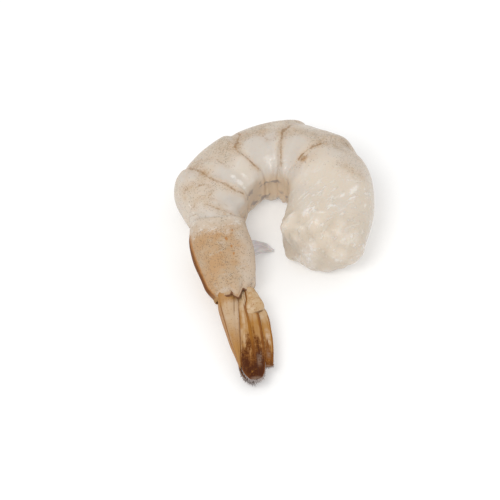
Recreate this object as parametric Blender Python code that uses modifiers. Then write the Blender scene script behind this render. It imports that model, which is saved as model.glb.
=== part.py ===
# A raw tiger prawn, headed and peeled to its last segment, lying curled on its left side.
# Metres, +Z up. The origin is at the middle of its footprint, on the surface it lies on.
# The body follows a spine in the ground plane: straight at the cut end, one even arc for the
# curl, straight again through the tail segment. The outside of the curl is the prawn's back.

import bmesh
import bpy
import numpy as np

MM = 0.001

# Spine of the flesh, from the cut end towards the tail
SPINE_START = np.array([9.19, -3.01]) * MM
CUT_HEADING = np.radians(69.8)
CURL_ANGLE = np.radians(211)
CURL_FROM = 12.6 * MM
CURL_TO = 66.6 * MM
CURL_EASE = 1.5 * MM
FLESH_LENGTH = 89.0 * MM

# Sections along the spine: distance from the cut end, reach to the back, reach to the belly, width
SECTIONS = np.array([
    (0.0, 10.0, 9.8, 16.4),
    (9.0, 10.6, 11.4, 18.4),
    (17.0, 10.6, 11.8, 18.9),
    (25.0, 11.0, 10.9, 18.8),
    (33.0, 10.5, 9.2, 18.2),
    (41.0, 9.6, 8.5, 17.6),
    (48.0, 8.5, 8.8, 17.2),
    (55.0, 9.6, 9.0, 16.4),
    (61.0, 9.7, 8.6, 15.4),
    (64.5, 7.4, 7.9, 13.6),
    (67.5, 6.2, 6.5, 12.0),
    (73.0, 6.5, 6.7, 11.2),
    (80.0, 6.5, 7.4, 10.2),
    (86.0, 5.4, 6.6, 8.9),
    (93.0, 3.9, 4.7, 7.2),
]) * MM
SECTION_POWER = 2.2
SINK = 0.9 * MM
CUT_ROUNDING = 7.5 * MM
CUT_POWER = 2.3
TAIL_ROUNDING = 1.2 * MM

# Joints between the segments: where each one crosses the back, the side and the belly
JOINTS = np.array([
    (26.0, 30.2, 32.5),
    (35.5, 39.0, 38.6),
    (47.0, 50.2, 45.5),
    (57.5, 60.1, 61.0),
    (66.0, 69.0, 68.0),
]) * MM
JOINT_STEP = np.array([0.9, 1.0, 0.8, 0.7, 0.0]) * MM
JOINT_GROOVE = 0.55 * MM
JOINT_GROOVE_WIDTH = 1.0 * MM
STEP_LENGTH = 5.0 * MM
BELLY_GROOVE = 0.9 * MM
BELLY_GROOVE_ANGLE = np.radians(15)
STUB_HEIGHT = 0.45 * MM
STUB_ANGLE = np.radians(34)
LOBE_HEIGHT = 1.3 * MM
LOBE_REACH = 16 * MM
# Swellings of the torn end: distance from the cut end, degrees from the back, reach along and round, height
SWELLINGS = [(2.2, 154, 2.6, 30, 1.3), (5.0, 205, 3.0, 27, 0.6), (7.8, 150, 1.3, 20, -0.5)]
RINGS = 76
AROUND = 34

# Shell of the tail segment, a sleeve that is open along the belly
SHELL_BEHIND_JOINT = 1.2 * MM
# The rear margin: degrees from the back, and how far from the cut end it lies there
SHELL_MARGIN = np.array([
    (0, 92.4), (10, 92.3), (20, 92.3), (34, 92.6), (48, 92.5), (60, 92.6), (73, 92.5), (80, 92.4),
    (88, 93.1), (97, 93.8), (104, 92.4), (112, 90.5), (124, 90.5), (138, 90.0), (150, 88.6),
])
SHELL_THICKNESS = 0.6 * MM
CLEARANCE = 0.3 * MM
SHELL_HALF_ANGLE = np.radians(150)
KEEL_HEIGHT = 0.7 * MM
SHELL_ROWS = 22
SHELL_COLUMNS = 30

# Tail fan: a telson on the back and a pair of uropods, folded together
FAN_HEADING = np.radians(277)
FAN_HEIGHT_AT_ROOT = 4.9 * MM
FAN_HEIGHT_AT_TIP = 3.2 * MM
FAN_LENGTH = 28.3 * MM
TELSON_LENGTH = 23.7 * MM
TELSON_HEIGHT = 6.7 * MM
TELSON_WIDTH = 4.2 * MM
TELSON_TUCK = 4.5 * MM
BLADE_THICKNESS = 0.45 * MM

SCRAP_THICKNESS = 0.5 * MM
SCRAP_AT = 76.8 * MM


def clear_scene():
    for obj in list(bpy.data.objects):
        bpy.data.objects.remove(obj, do_unlink=True)


def make_collection(name):
    collection = bpy.data.collections.new(name)
    bpy.context.scene.collection.children.link(collection)
    return collection


def make_material(name, color, roughness):
    material = bpy.data.materials.new(name)
    material.use_nodes = True
    shader = material.node_tree.nodes["Principled BSDF"]
    shader.inputs["Base Color"].default_value = (*color, 1.0)
    shader.inputs["Roughness"].default_value = roughness
    shader.inputs["Metallic"].default_value = 0.0
    return material


def make_object(name, mesh, material, collection):
    mesh.materials.append(material)
    obj = bpy.data.objects.new(name, mesh)
    collection.objects.link(obj)
    return obj


def sigmoid(x):
    return 1 / (1 + np.exp(-np.clip(x, -40, 40)))


def smooth_interp(x, xs, ys):
    """Cubic through the stations, with each slope taken from its two neighbours."""
    slopes = np.gradient(ys, xs)
    i = np.clip(np.searchsorted(xs, x) - 1, 0, len(xs) - 2)
    span = xs[i + 1] - xs[i]
    t = np.clip((x - xs[i]) / span, 0, 1)
    a = ys[i] * (1 + 2 * t) * (1 - t) ** 2
    b = slopes[i] * span * t * (1 - t) ** 2
    c = ys[i + 1] * t * t * (3 - 2 * t)
    d = slopes[i + 1] * span * t * t * (t - 1)
    return a + b + c + d


# The spine is integrated once, on a fine table, and read from it by distance
SPINE_TABLE = np.linspace(0, SHELL_MARGIN[:, 1].max() * MM, 700)
CURVATURE = sigmoid((SPINE_TABLE - CURL_FROM) / CURL_EASE) * sigmoid((CURL_TO - SPINE_TABLE) / CURL_EASE)
TURNED = np.cumsum(CURVATURE)
HEADINGS = CUT_HEADING + CURL_ANGLE * TURNED / TURNED[-1]
SPINE_STEP = SPINE_TABLE[1]
SPINE_X = SPINE_START[0] + np.cumsum(np.cos(HEADINGS)) * SPINE_STEP
SPINE_Y = SPINE_START[1] + np.cumsum(np.sin(HEADINGS)) * SPINE_STEP


def reach(s, angle):
    """How far the section reaches from the spine, on the back's side or on the belly's."""
    to_back = smooth_interp(s, SECTIONS[:, 0], SECTIONS[:, 1])
    to_belly = smooth_interp(s, SECTIONS[:, 0], SECTIONS[:, 2])
    return np.where(np.cos(angle) > 0, to_back, to_belly)


def half_width(s):
    return smooth_interp(s, SECTIONS[:, 0], SECTIONS[:, 3]) / 2


def spine_height(s):
    """The flesh lies a little flattened on its side, and the shell holds the tail segment clear of that."""
    in_shell = sigmoid((s - JOINTS[-1, 0] - 0.8 * MM) / (0.9 * MM))
    return half_width(s) - SINK * (1 - in_shell) + (CLEARANCE + SHELL_THICKNESS + 0.15 * MM) * in_shell


def body_point(s, angle, grow, shrink=1.0):
    """A point on the body: angle 0 is the back, 90 degrees the upper side and 180 the belly."""
    heading = np.interp(s, SPINE_TABLE, HEADINGS)
    power = 2 / SECTION_POWER
    back = np.sign(np.cos(angle)) * np.abs(np.cos(angle)) ** power
    up = np.sign(np.sin(angle)) * np.abs(np.sin(angle)) ** power
    back = back * reach(s, angle) * shrink + np.cos(angle) * grow
    up = up * half_width(s) * shrink + np.sin(angle) * grow
    x = np.interp(s, SPINE_TABLE, SPINE_X) + np.sin(heading) * back
    y = np.interp(s, SPINE_TABLE, SPINE_Y) - np.cos(heading) * back
    return np.stack(np.broadcast_arrays(x, y, spine_height(s) + up), axis=-1)


def joint_line(joint, angle):
    """How far from the cut end a joint lies, round the body."""
    at_back, at_side, at_belly = joint
    back = np.clip(np.cos(angle), 0, 1) ** 2
    belly = np.clip(-np.cos(angle), 0, 1) ** 2
    return at_back * back + at_belly * belly + at_side * (1 - back - belly)


def flesh_relief(s, angle):
    """Each segment stands proud at its front edge, behind a groove, and stubs line the belly."""
    belly = np.clip(-np.cos(angle), 0, 1) ** 2
    relief = np.zeros(np.broadcast(s, angle).shape)
    for joint, step in zip(JOINTS, JOINT_STEP):
        behind = s - joint_line(joint, angle)
        proud = step * sigmoid(behind / (0.35 * MM)) * np.exp(-np.clip(behind, 0, None) / STEP_LENGTH)
        groove = JOINT_GROOVE * np.exp(-((behind / JOINT_GROOVE_WIDTH) ** 2))
        relief = relief + (proud - groove) * (1 - 0.55 * belly)
    from_belly = np.abs(np.angle(np.exp(1j * (angle - np.pi))))
    relief = relief - BELLY_GROOVE * np.exp(-((from_belly / BELLY_GROOVE_ANGLE) ** 2))
    for front, rear in zip(JOINTS[:-1, 2], JOINTS[1:, 2]):
        along = np.exp(-(((s - (front + rear) / 2) / (0.24 * (rear - front))) ** 2))
        across = np.exp(-(((from_belly - STUB_ANGLE) / np.radians(13)) ** 2))
        relief = relief + STUB_HEIGHT * along * across
    return relief * sigmoid((joint_line(JOINTS[-1], angle) - s) / (0.3 * MM))


def cut_lobes(s, angle):
    """The torn muscle at the cut end swells in a few soft lobes."""
    fade = np.clip(1 - s / LOBE_REACH, 0, 1) ** 1.5
    turn = 2.2 * s / LOBE_REACH
    lobes = 0.55 * np.sin(3 * angle + 0.7 + turn) + 0.45 * np.sin(5 * angle + 2.4 - 2 * turn)
    ripple = 0.35 * np.sin(8 * angle + 1.1) * np.sin(s * 900 + 0.5)
    side = np.degrees(np.abs(np.angle(np.exp(1j * angle))))
    swell = sum(height * MM * np.exp(-(((s / MM - at) / long) ** 2) - (((side - around) / wide) ** 2))
                for at, around, long, wide, height in SWELLINGS)
    return LOBE_HEIGHT * fade * (lobes + ripple) + swell


def flesh_rings():
    """Distances along the spine, closer together at both ends."""
    front = CUT_ROUNDING * (1 - np.cos(np.linspace(0, np.pi / 2, 11)[1:]))
    rear = FLESH_LENGTH - TAIL_ROUNDING * (1 - np.cos(np.linspace(np.pi / 2, 0, 4)[:-1]))
    middle = np.linspace(front[-1], rear[0], RINGS - len(front) - len(rear) + 2)[1:-1]
    return np.concatenate([front, middle, rear[:-1]])


def flesh_surface():
    s = flesh_rings()[:, None]
    angle = np.linspace(0, 2 * np.pi, AROUND, endpoint=False)[None, :]
    inwards = np.clip(1 - s / CUT_ROUNDING, 0, 1)
    shrink = (1 - inwards**CUT_POWER) ** (1 / CUT_POWER)
    from_rear = np.clip(1 - (FLESH_LENGTH - s) / TAIL_ROUNDING, 0, 1)
    shrink = shrink * (1 - 0.25 * from_rear**2)
    points = body_point(s, angle, (flesh_relief(s, angle) + cut_lobes(s, angle)) * shrink, shrink)
    points[..., 2] = np.maximum(points[..., 2], 0)
    return points


def loft_mesh(name, rings):
    """A closed skin over rings of points, with a fan of triangles over each end."""
    count, around = rings.shape[:2]
    first, last = count * around, count * around + 1
    vertices = np.concatenate([rings.reshape(-1, 3), [rings[0].mean(axis=0), rings[-1].mean(axis=0)]])
    faces = []
    for ring in range(count - 1):
        for k in range(around):
            here, beside = ring * around + k, ring * around + (k + 1) % around
            faces.append((here, beside, beside + around, here + around))
    for k in range(around):
        beside = (k + 1) % around
        faces.append((first, beside, k))
        faces.append((last, (count - 1) * around + k, (count - 1) * around + beside))
    return finished_mesh(name, vertices, faces)


def sheet_mesh(name, grid):
    """An open sheet over a grid of points, for Solidify to thicken."""
    rows, columns = grid.shape[:2]
    faces = []
    for row in range(rows - 1):
        for column in range(columns - 1):
            corner = row * columns + column
            faces.append((corner, corner + columns, corner + columns + 1, corner + 1))
    return finished_mesh(name, grid.reshape(-1, 3), faces, closed=False)


def finished_mesh(name, vertices, faces, closed=True):
    mesh = bpy.data.meshes.new(name)
    mesh.from_pydata(np.asarray(vertices).tolist(), [], faces)
    if closed:
        shape = bmesh.new()
        shape.from_mesh(mesh)
        bmesh.ops.recalc_face_normals(shape, faces=shape.faces)
        shape.to_mesh(mesh)
        shape.free()
    mesh.shade_smooth()
    return mesh


def thicken(obj, thickness, offset):
    solidify = obj.modifiers.new("Thickness", "SOLIDIFY")
    solidify.thickness = thickness
    solidify.offset = offset
    solidify.use_even_offset = False
    return obj


def make_flesh(material, collection):
    return make_object("flesh", loft_mesh("flesh", flesh_surface()), material, collection)


def add_scrap(flesh, material, cutters):
    """A shred of membrane hangs from the belly at the front of the tail segment, down to the table."""
    along = np.linspace(0, 1, 9)[:, None]
    across = np.linspace(-1, 1, 7)[None, :]
    root = body_point(SCRAP_AT, np.radians(180), -1.2 * MM)
    tip = root + np.array([6.9, 3.6, 0.0]) * MM
    tip[2] = 0.45 * MM
    half = (2.8 - 2.4 * along**1.2) * MM
    droop = (root[2] - tip[2]) * (1 - along) ** 1.6
    wave = 0.25 * MM * np.sin(5 * along + 2.2 * across)
    x = root[0] + (tip[0] - root[0]) * along + 0.18 * half * across
    arch = 1.6 * MM * np.sin(np.pi * along)
    y = root[1] + (tip[1] - root[1]) * along**1.4 + arch + half * across
    z = tip[2] + droop + wave * np.sin(np.pi * along) + 0.12 * MM * (1 + across)
    scrap = make_object("scrap_blank", sheet_mesh("scrap", np.stack(np.broadcast_arrays(x, y, z), -1)),
                        material, cutters)
    thicken(scrap, SCRAP_THICKNESS, 0)
    scrap.hide_render = True
    scrap.display_type = "WIRE"
    join = flesh.modifiers.new("Scrap", "BOOLEAN")
    join.operation = "UNION"
    join.object = scrap


def shell_margin(angle):
    """The rear margin: a lobe with a pointed end on the side, then a notch and a rounded lower corner."""
    return np.interp(np.degrees(np.abs(angle)), SHELL_MARGIN[:, 0], SHELL_MARGIN[:, 1]) * MM


def make_tail_shell(material, collection):
    angle = np.linspace(-SHELL_HALF_ANGLE, SHELL_HALF_ANGLE, SHELL_COLUMNS)[None, :]
    along = np.linspace(0, 1, SHELL_ROWS)[:, None]
    front = joint_line(JOINTS[-1], angle) + SHELL_BEHIND_JOINT
    s = front + (shell_margin(angle) - front) * along
    keel = KEEL_HEIGHT * np.exp(-((angle / np.radians(9)) ** 2)) * along**0.7
    grid = body_point(s, angle, CLEARANCE + keel)
    obj = make_object("tail_shell", sheet_mesh("tail_shell", grid), material, collection)
    return thicken(obj, SHELL_THICKNESS, 1)


def fan_point(along, back, up):
    """A point in the tail fan: along it from the flesh's end, towards the back, and up from its mid-plane."""
    root = body_point(FLESH_LENGTH, 0.0, 0.0, 0.0)
    along, back, up = np.broadcast_arrays(along, back, up)
    x = root[0] + np.cos(FAN_HEADING) * along + np.sin(FAN_HEADING) * back
    y = root[1] + np.sin(FAN_HEADING) * along - np.cos(FAN_HEADING) * back
    middle = FAN_HEIGHT_AT_ROOT + (FAN_HEIGHT_AT_TIP - FAN_HEIGHT_AT_ROOT) * along / FAN_LENGTH
    return np.stack([x, y, middle + up], axis=-1)


def make_telson(material, collection):
    """A long spike with flat sides and a groove along its back."""
    share = np.concatenate([np.linspace(0, 0.94, 17), [0.975, 1.0]])[:, None]
    angle = np.linspace(0, 2 * np.pi, 14, endpoint=False)[None, :]
    taper = 0.97 * (1 - share) ** 0.75 + 0.03
    tuck = np.exp(-((share * TELSON_LENGTH / TELSON_TUCK) ** 2))
    height = TELSON_HEIGHT / 2 * taper * (1 - 0.25 * tuck)
    width = TELSON_WIDTH / 2 * taper
    back = np.cos(angle) * height
    up = np.sin(angle) * width * (1 - 0.3 * np.clip(-np.cos(angle), 0, 1))
    groove = 0.45 * MM * np.exp(-((np.angle(np.exp(1j * angle)) / np.radians(20)) ** 2)) * taper
    lean = (1.6 - 0.8 * share**2 - 0.9 * tuck) * MM
    rings = fan_point(CLEARANCE + TELSON_LENGTH * share, lean + back - groove, up)
    return make_object("telson", loft_mesh("telson", rings), material, collection)


# Each blade of a uropod: length, greatest width, where its middle line starts and ends towards the
# back, how far out from the mid-plane it starts and ends, and how far down the fan it starts
BLADES = {
    "endopod": {"length": 19.0, "width": 5.9, "back": (-3.4, -2.4), "out": (2.6, 1.5), "start": 9.3},
    "exopod": {"length": 15.1, "width": 5.5, "back": (-5.4, -5.2), "out": (1.5, 0.65), "start": 9.2},
}
BLADE_ROWS = 15
BLADE_COLUMNS = 8


def make_blade(name, size, side, material, collection):
    """A leaf-shaped plate, crowned across, with a rib along its middle."""
    along = np.linspace(0, 1, BLADE_ROWS)[:, None]
    across = np.linspace(-1, 1, BLADE_COLUMNS)[None, :]
    tip_round = np.clip((1 - along) / 0.22, 0, 1)
    half = size["width"] / 2 * (0.5 + 0.5 * np.sin(np.pi / 2 * np.clip(along / 0.55, 0, 1)))
    half = half * (0.12 + 0.88 * np.sqrt(1 - (1 - tip_round) ** 2))
    back = size["back"][0] + (size["back"][1] - size["back"][0]) * along + half * across
    out = size["out"][0] + (size["out"][1] - size["out"][0]) * along
    crown = -0.55 * across**2 * (half / size["width"]) * 2
    rib = 0.25 * np.exp(-((across / 0.22) ** 2)) * (1 - along)
    up = side * (out + crown + rib)
    grid = fan_point((size["start"] + size["length"] * along) * MM, back * MM, up * MM)
    obj = make_object(name, sheet_mesh(name, grid), material, collection)
    return thicken(obj, BLADE_THICKNESS, 0)


def make_uropod_base(name, side, material, collection):
    """The stout knuckle that carries the two blades."""
    shape = bmesh.new()
    bmesh.ops.create_uvsphere(shape, u_segments=14, v_segments=10, radius=1.0)
    for vertex in shape.verts:
        x, y, z = vertex.co
        along = 4.8 + 4.05 * x
        back = -4.1 - 1.0 * x + (2.2 + 0.9 * x) * y
        out = 1.75 + 0.3 * x + 1.25 * z - 0.25 * y * y
        vertex.co = fan_point(along * MM, back * MM, side * out * MM)
    shape.normal_update()
    bmesh.ops.recalc_face_normals(shape, faces=shape.faces)
    mesh = bpy.data.meshes.new(name)
    shape.to_mesh(mesh)
    shape.free()
    mesh.shade_smooth()
    return make_object(name, mesh, material, collection)


def make_tail_fan(material, collection):
    make_telson(material, collection)
    for place, side in (("upper", 1), ("lower", -1)):
        make_uropod_base(f"uropod_base_{place}", side, material, collection)
        for kind, size in BLADES.items():
            make_blade(f"{kind}_{place}", size, side, material, collection)


def build():
    clear_scene()
    prawn = make_collection("raw_tiger_prawn")
    blanks = make_collection("blanks")
    flesh_look = make_material("flesh", (0.68, 0.60, 0.51), 0.3)
    shell_look = make_material("tail_shell", (0.55, 0.36, 0.19), 0.35)
    fan_look = make_material("tail_fan", (0.36, 0.18, 0.07), 0.4)
    flesh = make_flesh(flesh_look, prawn)
    add_scrap(flesh, flesh_look, blanks)
    make_tail_shell(shell_look, prawn)
    make_tail_fan(fan_look, prawn)


build()
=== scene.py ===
import bpy
import numpy as np
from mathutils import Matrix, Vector


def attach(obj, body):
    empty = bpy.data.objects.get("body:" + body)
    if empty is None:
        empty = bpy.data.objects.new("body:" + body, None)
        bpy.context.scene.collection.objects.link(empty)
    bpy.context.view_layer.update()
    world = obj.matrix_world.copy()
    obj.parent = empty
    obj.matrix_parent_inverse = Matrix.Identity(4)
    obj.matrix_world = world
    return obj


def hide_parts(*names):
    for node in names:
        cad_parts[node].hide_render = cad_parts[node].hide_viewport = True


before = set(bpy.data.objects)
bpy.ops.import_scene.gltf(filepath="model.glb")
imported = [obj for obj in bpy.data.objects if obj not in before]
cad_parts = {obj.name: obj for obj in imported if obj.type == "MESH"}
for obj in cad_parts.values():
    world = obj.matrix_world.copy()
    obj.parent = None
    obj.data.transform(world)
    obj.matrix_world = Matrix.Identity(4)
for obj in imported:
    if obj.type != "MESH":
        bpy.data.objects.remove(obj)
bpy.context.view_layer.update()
print("stage 1: frame loaded")

mm = 0.001  # shapes are worked out in millimetres and become metres in the mesh


# Curves and steps.

def soften(x):  # a smooth step from 0 to 1 at x = 0: 1 over 1 plus e to the minus x
    return 1 / (1 + np.exp(-np.clip(x, -40, 40)))


def bump(x, middle, spread):  # a bell of height 1: e to the minus square of distance over spread
    return np.exp(-(((x - middle) / spread) ** 2))


def unit(x):  # held between 0 and 1
    return np.clip(x, 0, 1)


def ease(x, low, high):  # 0 below low, 1 above high, and 3t^2 - 2t^3 between
    t = unit((x - low) / (high - low))
    return t * t * (3 - 2 * t)


def window(x, low, high, before, after):
    # 1 between low and high, 0 outside, eased: each end reaches so far outwards and so far inwards
    return ease(x, low - before, low + after) * (1 - ease(x, high - after, high + before))


def throughPoints(x, xs, ys):  # a cubic through the stations, each slope taken from its two neighbours
    slopes = np.gradient(ys, xs)
    i = np.clip(np.searchsorted(xs, x) - 1, 0, len(xs) - 2)
    span = xs[i + 1] - xs[i]
    t = unit((x - xs[i]) / span)
    return (ys[i] * (1 + 2 * t) * (1 - t) ** 2 + slopes[i] * span * t * (1 - t) ** 2
            + ys[i + 1] * t * t * (3 - 2 * t) + slopes[i + 1] * span * t * t * (t - 1))


def waves(along, angle, seed, count, pitch, turns):
    # a sum of seeded sine waves of distance along and of whole turns round; its spread is about 1
    rng = np.random.default_rng(seed)
    total = 0
    for _ in range(count):
        rate = rng.uniform(*pitch) * rng.choice((-1, 1))
        total = total + np.sin(rate * along + rng.integers(*turns) * angle + rng.uniform(0, 6.28))
    return total / np.sqrt(count / 2)


def signedPower(x, power):  # the size of x to the power, with the sign of x
    return np.sign(x) * np.abs(x) ** power


# Meshes from grids.

def fill(rows, field, values, kind=np.float32):  # one array into one field of all of a mesh's rows
    rows.foreach_set(field, np.asarray(values).astype(kind).ravel())


def putMesh(name, points, corners, uv, marks):
    # corners: one array of point numbers for each number of corners that a face has
    mesh = bpy.data.meshes.new(name)
    loops = np.concatenate([c.ravel() for c in corners])
    sizes = np.concatenate([np.full(len(c), c.shape[1]) for c in corners])
    mesh.vertices.add(len(points))
    fill(mesh.vertices, "co", points * mm)
    mesh.loops.add(len(loops))
    fill(mesh.loops, "vertex_index", loops, np.int32)
    mesh.polygons.add(len(sizes))
    fill(mesh.polygons, "loop_start", np.cumsum(sizes) - sizes, np.int32)
    fill(mesh.polygons, "loop_total", sizes, np.int32)
    mesh.update(calc_edges=True)
    fill(mesh.uv_layers.new(name="lay").data, "uv", np.concatenate([u.reshape(-1, 2) for u in uv]))
    for mark, values in marks.items():
        fill(mesh.attributes.new(mark, "FLOAT", "POINT").data, "value", values)
    mesh.validate()
    mesh.shade_smooth()
    return mesh


def gridMesh(name, grid, marks, closed=False, flip=False):
    # quads between neighbouring rows and columns; a closed grid joins its last column to its first and
    # gets a fan of triangles over each end. The uv map runs from 0 to 1 both ways
    rows, cols = grid.shape[:2]
    wide = cols if closed else cols - 1
    r, c = np.meshgrid(np.arange(rows - 1), np.arange(wide), indexing="ij")
    r, c = r.ravel(), c.ravel()
    rr = np.stack([r, r + 1, r + 1, r], 1)
    cc = np.stack([c, c, c + 1, c + 1], 1)
    if flip:
        rr, cc = rr[:, ::-1], cc[:, ::-1]
    quads = rr * cols + cc % cols
    uv = [np.stack([rr / (rows - 1), cc / wide], -1)]
    points = grid.reshape(-1, 3)
    marks = {k: np.broadcast_to(v, (rows, cols)).ravel() for k, v in marks.items()}
    corners = [quads]
    if closed:
        ends = np.stack([grid[0].mean(0), grid[-1].mean(0)])
        points = np.concatenate([points, ends])
        marks = {k: np.concatenate([v, [v[:cols].mean(), v[-cols:].mean()]]) for k, v in marks.items()}
        k = np.arange(cols)
        beside = (k + 1) % cols
        tip, ring = rows * cols, (rows - 1) * cols
        first = np.stack([np.full(cols, tip), k, beside], 1)
        last = np.stack([np.full(cols, tip + 1), ring + beside, ring + k], 1)
        fans = np.concatenate([first, last])
        fanRow = np.concatenate([np.zeros((cols, 3)), np.ones((cols, 3))])
        fanCol = np.concatenate([np.stack([k, k, k + 1], 1), np.stack([k, k + 1, k], 1)]) / cols
        if flip:
            fans, fanRow, fanCol = fans[:, ::-1], fanRow[:, ::-1], fanCol[:, ::-1]
        corners.append(fans)
        uv.append(np.stack([fanRow, fanCol], -1))
    return putMesh(name, points, corners, uv, marks)


def addObject(name, data):  # puts it into the scene
    thing = bpy.data.objects.new(name, data)
    bpy.context.scene.collection.objects.link(thing)
    return thing


def addPiece(mesh, look, slot, *nodes):
    # an object that rides on the part's one body, in place of the nodes it covers
    piece = addObject(mesh.name, mesh)
    piece.data.materials.append(look)
    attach(piece, "root")
    if nodes:
        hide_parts(*nodes)
    return piece


def thicken(piece, thickness, offset):
    # a wall to a sheet; an offset of 1 grows it outwards, 0 to both sides
    wall = piece.modifiers.new("wall", "SOLIDIFY")
    wall.thickness = thickness * mm
    wall.offset = offset
    wall.use_even_offset = False
    return piece


# Shader maths.

class Wire:  # a shader value; sums and products of wires and numbers add their Math nodes
    def __init__(self, look, socket):
        self.look, self.socket = look, socket

    def math(self, kind, *others):
        return self.look.add("Math", {"operation": kind}, dict(enumerate((self, *others))))

    def __add__(self, other): return self.math("ADD", other)
    def __sub__(self, other): return self.math("SUBTRACT", other)
    def __mul__(self, other): return self.math("MULTIPLY", other)
    def __rsub__(self, other): return self.look.add("Math", {"operation": "SUBTRACT"}, {0: other, 1: self})
    def __neg__(self): return self.math("MULTIPLY", -1)
    __radd__ = __add__
    __rmul__ = __mul__

    def abs(self): return self.math("ABSOLUTE")
    def most(self, other): return self.math("MAXIMUM", other)
    def least(self, other): return self.math("MINIMUM", other)

    def fade(self, low, high):  # 0 at low and 1 at high, eased, whichever of the two is larger
        sockets = {0: self, 1: low, 2: high, 3: 0, 4: 1}
        return self.look.add("MapRange", {"interpolation_type": "SMOOTHSTEP"}, sockets)

    def near(self, middle, low, high):  # 1 within low of the middle, 0 beyond high
        return 1 - (self - middle).abs().fade(low, high)


class Look:  # a material, the dictionary that holds its paints, and the calls that add its nodes
    def __init__(self, name, paints, base):
        self.paints, self.color = paints, paints[base]
        self.material = bpy.data.materials.new(name)
        self.material.use_nodes = True
        self.nodes = self.material.node_tree.nodes
        self.links = self.material.node_tree.links
        self.shader = self.nodes["Principled BSDF"]
        self.set(**paints["finish"])
        # object coordinates in millimetres
        self.spot = self.stretch(self.add("TexCoord", out=3), (1 / mm, 1 / mm, 1 / mm))

    def add(self, kind, settings=None, sockets=None, out=0):  # a node: its settings, then its sockets
        node = self.nodes.new("ShaderNode" + kind)
        for key, value in (settings or {}).items():
            setattr(node, key, value)
        for key, value in (sockets or {}).items():
            self.feed(node.inputs[key], value)
        return Wire(self, node.outputs[out])

    def feed(self, socket, value):  # a link from a wire, or a plain value
        if isinstance(value, Wire):
            self.links.new(value.socket, socket)
        elif isinstance(value, tuple) and socket.type == "RGBA":
            socket.default_value = (*value, 1)
        else:
            socket.default_value = value

    def mark(self, name):  # a value that the mesh carries at its points
        return self.add("Attribute", {"attribute_name": name}, out=2)

    def lay(self, along, across):  # the piece's uv map in millimetres, stretched both ways
        flat = self.stretch(self.add("UVMap", {"uv_map": "lay"}), (*self.paints["laidOut"], 1))
        return self.stretch(flat, (along, across, 1))

    def stretch(self, vector, by):  # each coordinate times its own number
        return self.add("VectorMath", {"operation": "MULTIPLY"}, {0: vector, 1: by})

    def turn(self, vector, degrees):  # about the upright axis
        return self.add("VectorRotate", {"rotation_type": "Z_AXIS"}, {0: vector, 3: np.radians(degrees)})

    def noise(self, scale, detail=2, rough=0.5, on=None):  # on: a vector in place of the object's own
        sockets = {"Vector": on or self.spot, "Scale": scale, "Detail": detail, "Roughness": rough}
        return self.add("TexNoise", None, sockets)

    def dots(self, scale, radius, share, on=None):
        # round dots, one in some of the cells: share is how many cells have one, a number or a wire
        sockets = {"Vector": on or self.spot, "Scale": scale}
        chance = self.add("SeparateColor", None, {0: self.add("TexVoronoi", None, sockets, 1)})
        size = self.add("TexVoronoi", None, sockets)
        softness, onset = 0.55, 0.02
        return (1 - size.fade(radius * softness, radius)) * (share - chance).fade(0, onset)

    def mix(self, factor, a, b):  # a at 0 and b at 1
        return self.add("Mix", {"data_type": "RGBA"}, {0: factor, 6: a, 7: b}, 2)

    def tint(self, factor, paint):  # lays a paint over the colour so far
        self.color = self.mix(factor, self.color, self.paints[paint])

    def set(self, **values):
        for socket, value in values.items():
            self.feed(self.shader.inputs[socket.replace("_", " ")], value)

    def relief(self, *layers):  # bumps on top of one another: (height in mm, wire)
        total = 0
        for height, wire in layers:
            total = total + wire * height
        self.set(Normal=self.add("Bump", None, {"Strength": 1, "Distance": mm, "Height": total}))


# Camera, floor and light.

# height: degrees over the table; across: millimetres across the picture
cameraSet = {"height": 50, "lens": 1500, "film": 36, "across": 125,
             "target": (-6.41, 6.39, 0), "clip": (0.01, 20)}
floorSet = {"size": 2.4, "drop": 0.00002, "color": (0.74, 0.74, 0.737), "grain": 0.985,
            "finish": dict(Roughness=0.7, Specular_IOR_Level=0.1, Emission_Strength=0.27)}
lightSet = {
    "sky": (1, 1, 1), "skyStrength": 0.78, "key": {"place": (-0.28, -0.45, 0.75), "size": 0.45,
            "power": 3.2, "color": (1, 0.985, 0.96)},
            "fill": {"place": (0.6, 0.5, 0.7), "size": 0.6, "power": 0.8, "color": (0.97, 0.985, 1)},
}


def addCamera(look):
    # as far from its target as the width of the picture asks
    data = bpy.data.cameras.new("camera")
    camera = addObject("camera", data)
    data.lens, data.sensor_width = look["lens"], look["film"]
    away = look["across"] * mm * look["lens"] / data.sensor_width
    tilt = np.radians(look["height"])
    target = Vector(look["target"]) * mm
    camera.location = target + Vector((0, -np.cos(tilt), np.sin(tilt))) * away
    camera.rotation_euler = (target - camera.location).to_track_quat("-Z", "Y").to_euler()
    data.clip_start, data.clip_end = look["clip"]
    bpy.context.scene.camera = camera


def addLight(name, look):
    # a round lamp that faces the part
    data = bpy.data.lights.new(name, "AREA")
    data.shape, data.size, data.energy, data.color = "DISK", look["size"], look["power"], look["color"]
    lamp = addObject(name, data)
    lamp.location = look["place"]
    lamp.rotation_euler = (-Vector(look["place"])).to_track_quat("-Z", "Y").to_euler()


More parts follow.
